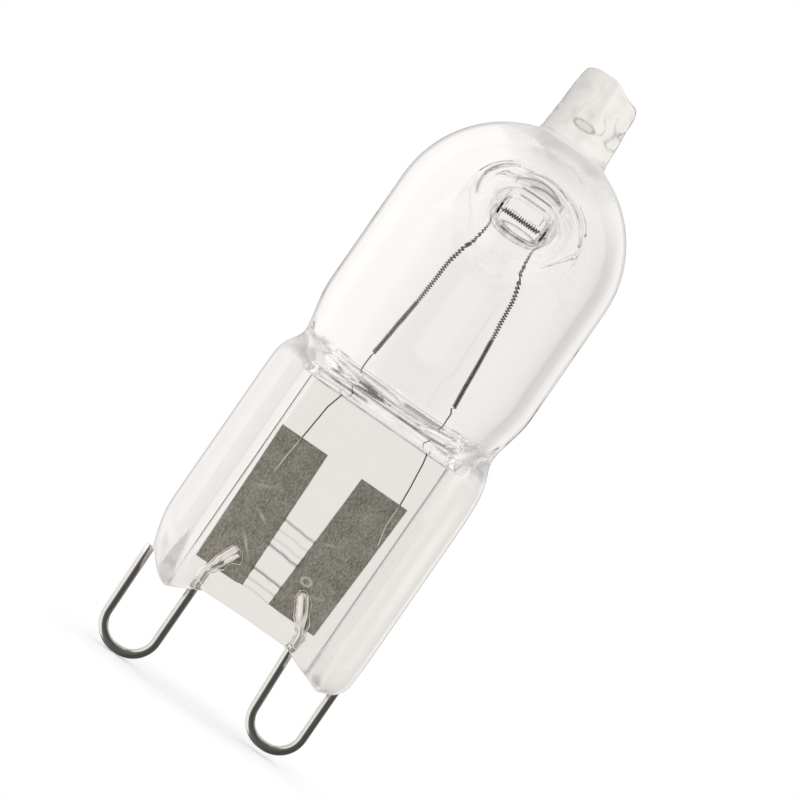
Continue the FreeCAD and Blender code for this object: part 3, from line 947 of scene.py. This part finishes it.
def quartz_haze(point):
    """How hazy the quartz is where it was worked: under the stub, on the rails, shoulders and feet."""
    off_axis = math.hypot(point.x, point.y)
    if point.z > DOME_CENTRE:
        crown = (1 - step_up(1.6, 2.2, off_axis)) * step_up(28.2, 28.5, point.z)
        collar = (1 - step_up(3.2, 4.3, off_axis)) * step_up(28.2, 28.8, point.z)
        return max(crown, collar) * (1 - step_up(29.6, 30.4, point.z))
    rails = step_up(RAIL_FOOT, RAIL_ROUND, abs(point.x))
    feet = step_up(3.0, 4.0, abs(point.x)) * (1 - step_up(0.4, 2.8, point.z))
    shoulder = rails * step_up(12.2, 12.8, point.z)
    return max(0.3 * rails, 0.8 * feet, 0.7 * shoulder) * (1 - step_up(13.8, 14.8, point.z))


def outer_skin():
    """Outer surface from the melted tip down to the feet of the pinch."""
    bm = bmesh.new()
    rules = [tip_point(radius, 0.0) for radius in (0.02, 0.35, 0.75, 1.1, 1.35)]
    rules += [tip_point(1.54, 0.06), tip_point(1.67, 0.17), tip_point(1.74, 0.33)]
    rules += [stub_point(32.75, 0.8), stub_point(32.5, 0.6)]
    rules += [stub_point(z, max(0.0, (z - 31.5) / 1.8)) for z in spaced(32.4, 29.95, 0.08)]
    for polar, lift in STUB_FILLET:
        rules.append(dome_point(BULB_RADIUS + lift, math.radians(polar), PILLAR_X * (22.0 - polar) / 3.6))
    rules += [dome_point(BULB_RADIUS, math.radians(22.0 + 2.0 * step)) for step in range(35)]
    heights = spaced(DOME_CENTRE, SHOULDER_TOP, 0.3) + spaced(SHOULDER_TOP, 14.0, 0.12)
    heights += spaced(14.0, 12.2, 0.04) + spaced(12.2, 5.9, 0.25) + spaced(5.9, 1.3, 0.06)
    rules += [column_rule(outer_point, z) for z in heights]
    ring = draw_rings(bm, rules)
    last = heights[-1]
    for step in range(1, FOOT_RINGS + 1):
        ring = next_ring(bm, ring)
        for index, vert in enumerate(ring):
            foot = along_line(FOOT_LINE, outer_point(index, last).x) + 0.2
            vert.co = outer_point(index, last + (foot - last) * step / FOOT_RINGS)
    close_flat(bm, ring, 1.0)
    for side in (-1, 1):
        shares = [1.06 - 0.025 * step for step in range(42)] + [0.01]
        ring = dent_run(bm, side, BULB_RADIUS, DENT_NARROW, DENT_WIDE, DENT_FLOOR + DENT_STEP, 0.8, shares)
        dent_floor(bm, ring, side)
    bmesh.ops.recalc_face_normals(bm, faces=bm.faces)
    # Painted shade on the front, kept on the vertices for the quartz's colour
    painted_light = bm.verts.layers.float.new("painted_light")
    for vert in bm.verts:
        vert[painted_light] = quartz_painted_shade(vert.co)
    return bm


def cavity_point(index, z):
    """Point of the cavity's wall below the dome, on a given column."""
    angle = 2 * math.pi * index / SIDES
    cosine = math.cos(angle)
    sine = math.sin(angle)
    reach = half_width(cosine, max(z, 14.0)) - WALL - SLOT_INSET * (1 - step_up(CAVITY_FLOOR - 0.5, 14.4, z))
    x = reach * cosine
    depth = shoulder_depth(sine, z, reach, SLOT_HALF, CAVITY_FLOOR, CAVITY_TURN)
    side = -1 if sine < 0 else 1
    sag = FLOOR_SAG * (1 - (x / 4.2) ** 2) * (1 - step_up(CAVITY_FLOOR, CAVITY_FLOOR + 0.7, z))
    return Vector((x, side * depth if abs(sine) > 1e-6 else 0.0, z - sag))


def cavity_skin():
    """Wall of the sealed cavity, closed under the exhaust stub, with the pillar through it."""
    bm = bmesh.new()
    polars = [0.3] + [2.0 * step for step in range(1, 46)]
    rules = [dome_point(CAVITY_RADIUS, math.radians(polar)) for polar in polars]
    heights = spaced(DOME_CENTRE, SHOULDER_TOP, 0.3) + spaced(SHOULDER_TOP, 14.2, 0.1)
    heights += spaced(14.2, CAVITY_FLOOR + 0.1, 0.04)
    rules += [column_rule(cavity_point, z) for z in heights]
    ring = draw_rings(bm, rules)
    close_flat(bm, ring, 0.5)
    ends = []
    for side in (-1, 1):
        shares = [0.86 - 0.04 * step for step in range(21)] + [0.03]
        ends.append(dent_run(bm, side, CAVITY_RADIUS, PILLAR_NARROW, PILLAR_WIDE, 0.0, 0.75, shares))
    bmesh.ops.bridge_loops(bm, edges=rim_edges(bm, ends[0]) + rim_edges(bm, ends[1]))
    bmesh.ops.recalc_face_normals(bm, faces=bm.faces)
    bmesh.ops.reverse_faces(bm, faces=bm.faces)
    return bm


def bubble(bm, centre, size):
    """Gas bubble shut in the quartz: an ellipsoid whose faces look inwards."""
    shape = Matrix.Translation(centre) @ Matrix.Diagonal((*size, 1.0))
    made = bmesh.ops.create_uvsphere(bm, u_segments=32, v_segments=20, radius=1.0, matrix=shape)
    faces = {face for vert in made["verts"] for face in vert.link_faces}
    bmesh.ops.reverse_faces(bm, faces=list(faces))


def pin_pocket(bm, route, bulges):
    """Empty pocket where the quartz shrank away from the flat end and stub of a pin."""
    stub = (route["inner"] - route["bend"]).normalized()
    length = (route["bend"] - route["tip"]).length
    ring = first_ring(bm, PIN_SIDES)
    rings = [ring]
    stations = [-0.05] + [0.06 * step for step in range(17)] + [1.06, 1.16, 1.26, 1.34]
    for number, share in enumerate(stations):
        if number:
            ring = next_ring(bm, ring)
            rings.append(ring)
        if share <= 1:
            middle = route["tip"].lerp(route["bend"], share)
        else:
            middle = route["bend"] + stub * (length * (share - 1))
        along = route["aim"].lerp(-stub, step_up(0.85, 1.15, share)).normalized()
        across = Vector((0, 1, 0)).cross(along).normalized()
        width, thickness = beaten_size(min(1.0, share / FLAT_SHARE))
        uneven = 0.05 + 0.05 * noise.noise(Vector((share * 6.0, route["tip"].x, 1.0)))
        spread = sum(far * math.exp(-((share - at) / wide) ** 2) for at, wide, far in bulges)
        for index, vert in enumerate(ring):
            sideways = math.cos(2 * math.pi * index / PIN_SIDES)
            deep = math.sin(2 * math.pi * index / PIN_SIDES)
            reach = sideways * (width + uneven) + max(0.0, sideways) * spread
            depth = PIN_PLANE + deep * (thickness + 0.03 + 0.5 * uneven)
            vert.co = middle + across * reach + Vector((0, min(-0.02, depth) - PIN_PLANE, 0))
    for end in (rings[0], rings[-1]):
        bmesh.ops.contextual_create(bm, geom=rim_edges(bm, end))
    faces = list({face for ring in rings for vert in ring for face in vert.link_faces})
    bmesh.ops.recalc_face_normals(bm, faces=faces)
    bmesh.ops.reverse_faces(bm, faces=faces)


def quartz_glass():
    """Clear fused quartz, faintly uneven and toned where it was worked hot, with painted shade along its
    folds and lines, a painted lighter left rail, and haze.
    """
    material, tree, surface = new_material("quartz")
    place = node_out(tree, "TexCoord", "Object")
    swell = node_out(tree, "TexNoise", "Fac", {"Vector": place, "Scale": 420.0, "Detail": 2.0})
    # Painted light: the worked tone is cut to a fifth on the left rail of the pinch, so that side looks lit
    # from the left
    left_lit = height_mask(tree, place, -4.8, -3.9, "X", 0.2)
    pressed = worked_out(tree, "MULTIPLY", left_lit, height_mask(tree, place, 12.8, 12.2))
    worked = worked_out(tree, "MAXIMUM", pressed, height_mask(tree, place, 29.6, 30.4))
    tone = mixed(tree, worked, QUARTZ_CLEAR, QUARTZ_WORKED)
    plug(tree, surface, {
        "IOR": QUARTZ_INDEX,
        "Transmission Weight": 1.0,
        # Base colour turns near black along the painted shade kept on the vertices
        "Base Color": mixed(tree, vertex_value(tree, "painted_light"), tone, QUARTZ_PAINTED_SHADE),
        "Roughness": worked_out(tree, "MULTIPLY", vertex_value(tree, "haze"), HAZE_ROUGHNESS),
        "Normal": node_out(tree, "Bump", "Normal", {"Height": swell, "Strength": 0.12, "Distance": 0.0001}),
    })
    return material


bm = outer_skin()
shell = bpy.data.meshes.new("cavity")
inner = cavity_skin()
inner.to_mesh(shell)
inner.free()
bm.from_mesh(shell)
bpy.data.meshes.remove(shell)
bubble(bm, Vector((-0.055, -1.2, 30.855)), (0.55, 0.1, 0.235))
bubble(bm, Vector((-5.25, -1.2, 12.98)), (0.14, 0.12, 0.14))
pin_pocket(bm, left_route, [(0.2, 0.12, 0.3), (0.62, 0.1, 0.14), (0.85, 0.08, 0.1)])
pin_pocket(bm, right_route, [(0.3, 0.1, 0.12), (0.75, 0.12, 0.2), (1.05, 0.1, 0.12)])
haze = bm.verts.layers.float.new("haze")
for vert in bm.verts:
    vert[haze] = quartz_haze(vert.co)
place_piece(bm, "quartz_capsule", quartz_glass(), "quartz_envelope")

# Stage
# A small white table under the pins, a white room and a camera square on to the flat of the pinch.
# The lamp leans in the picture, so the camera is rolled and the lamp stands upright.
LEAN = math.radians(34.7)
FRAME_WIDTH = 41.38 * MM
CAMERA_LENS = 250.0
SENSOR = 36.0
VIEW_CENTRE = Vector((0.18, 0.0, 13.89)) * MM
FLOOR_RADIUS = 30.0 * MM
WHITE = (1, 1, 1, 1)

bm = bmesh.new()
bmesh.ops.create_circle(bm, cap_ends=True, segments=96, radius=FLOOR_RADIUS)
bmesh.ops.translate(bm, verts=bm.verts, vec=(0, 0, cad_low.z))
floor_mesh = bpy.data.meshes.new("floor")
bm.to_mesh(floor_mesh)
bm.free()
floor = bpy.data.objects.new("floor", floor_mesh)
bpy.context.scene.collection.objects.link(floor)
floor_paint, tree, surface = new_material("floor_paint")
plug(tree, surface, {
    "Base Color": WHITE, "Roughness": 1.0, "Specular IOR Level": 0.0, "Emission Color": WHITE,
    "Emission Strength": 0.1,
})
floor_mesh.materials.append(floor_paint)
floor.visible_glossy = False

camera_data = bpy.data.cameras.new("camera")
camera_data.lens = CAMERA_LENS
camera_data.sensor_width = SENSOR
camera_data.clip_start = 0.01
camera_data.clip_end = 10.0
camera = bpy.data.objects.new("camera", camera_data)
bpy.context.scene.collection.objects.link(camera)
right = Vector((math.cos(LEAN), 0, math.sin(LEAN)))
up = Vector((-math.sin(LEAN), 0, math.cos(LEAN)))
back = Vector((0, -1, 0))
turn = Matrix((right, up, back)).transposed().to_4x4()
camera.matrix_world = Matrix.Translation(VIEW_CENTRE + back * (FRAME_WIDTH * CAMERA_LENS / SENSOR)) @ turn
bpy.context.scene.camera = camera


def white_room():
    """White to the camera; glass and metal also see a darker side to the room."""
    world = bpy.data.worlds.new("room")
    bpy.context.scene.world = world
    world.use_nodes = True
    tree = world.node_tree
    place = node_out(tree, "TexCoord", "Generated")
    path = tree.nodes.new("ShaderNodeLightPath").outputs
    ways = [node_out(tree, "SeparateXYZ", axis, {"Vector": place}) for axis in "XYZ"]
    across, deep, high = [worked_out(tree, "MULTIPLY_ADD", way, 0.5, 0.5) for way in ways]
    far_stops = [(0.0, 0.95), (0.04, 1.0), (0.44, 1.0), (0.48, 0.9), (0.52, 0.89), (0.55, 0.94), (0.6, 0.9)]
    far_side = ramp(tree, across, far_stops + [(0.75, 0.8), (1.0, 0.6)])
    near_side = ramp(tree, across, [(0.0, 1.0), (0.3, 1.0), (0.4, 0.5), (0.52, 0.25), (1.0, 0.12)])
    facing = ramp(tree, deep, [(0.0, 1.0), (0.018, 1.0), (0.03, 0.0), (0.42, 0.0), (0.56, 1.0), (1.0, 1.0)])
    above = ramp(tree, high, [(0.0, 0.7), (0.08, 0.85), (0.18, 1.0), (0.9, 1.0), (1.0, 0.8)])
    level = ramp(tree, high, [(0.0, 0.3), (0.25, 0.5), (0.4, 1.0), (0.6, 1.0), (0.75, 0.5), (1.0, 0.3)])
    near_side = mixed(tree, 1.0, near_side, level, "MULTIPLY")
    ends = ramp(tree, high, [(0.0, 0.75), (0.2, 0.75), (0.36, 0.0), (0.64, 0.0), (0.8, 0.9), (1.0, 0.9)])
    near_side = mixed(tree, ends, near_side, WHITE)
    around = mixed(tree, 1.0, mixed(tree, facing, near_side, far_side), above, "MULTIPLY")
    seen_through = mixed(tree, 1.0, around, (1.0, 0.97, 0.945, 1), "MULTIPLY")
    softbox = ramp(tree, across, [(0.0, 1.0), (0.2, 1.0), (0.27, 0.17), (0.6, 0.07), (1.0, 0.08)])
    softbox = mixed(tree, 1.0, softbox, (1.3, 1.3, 1.3, 1), "MULTIPLY")
    behind = ramp(tree, deep, [(0.0, 0.0), (0.78, 0.0), (0.86, 1.0), (1.0, 1.0)])
    edge_grey = ramp(tree, deep, [(0.0, 0.9), (0.92, 0.9), (0.965, 0.4), (1.0, 0.4)])
    mirrored = mixed(tree, behind, softbox, edge_grey)
    upward = ramp(tree, high, [(0.0, 0.0), (0.68, 0.0), (0.8, 1.0), (1.0, 1.0)])
    beyond = ramp(tree, deep, [(0.0, 0.0), (0.52, 0.0), (0.64, 1.0), (1.0, 1.0)])
    ceiling = mixed(tree, 1.0, upward, beyond, "MULTIPLY")
    mirrored = mixed(tree, ceiling, mirrored, WHITE)
    colour = mixed(tree, path["Is Glossy Ray"], WHITE, mirrored)
    colour = mixed(tree, path["Is Transmission Ray"], colour, seen_through)
    colour = mixed(tree, path["Is Camera Ray"], colour, WHITE)
    plug(tree, tree.nodes["Background"], {"Color": colour, "Strength": 1.0})


white_room()
bpy.context.scene.view_settings.view_transform = "Standard"
bpy.context.scene.cycles.max_bounces = 40
bpy.context.scene.cycles.transmission_bounces = 32
bpy.context.scene.cycles.glossy_bounces = 24
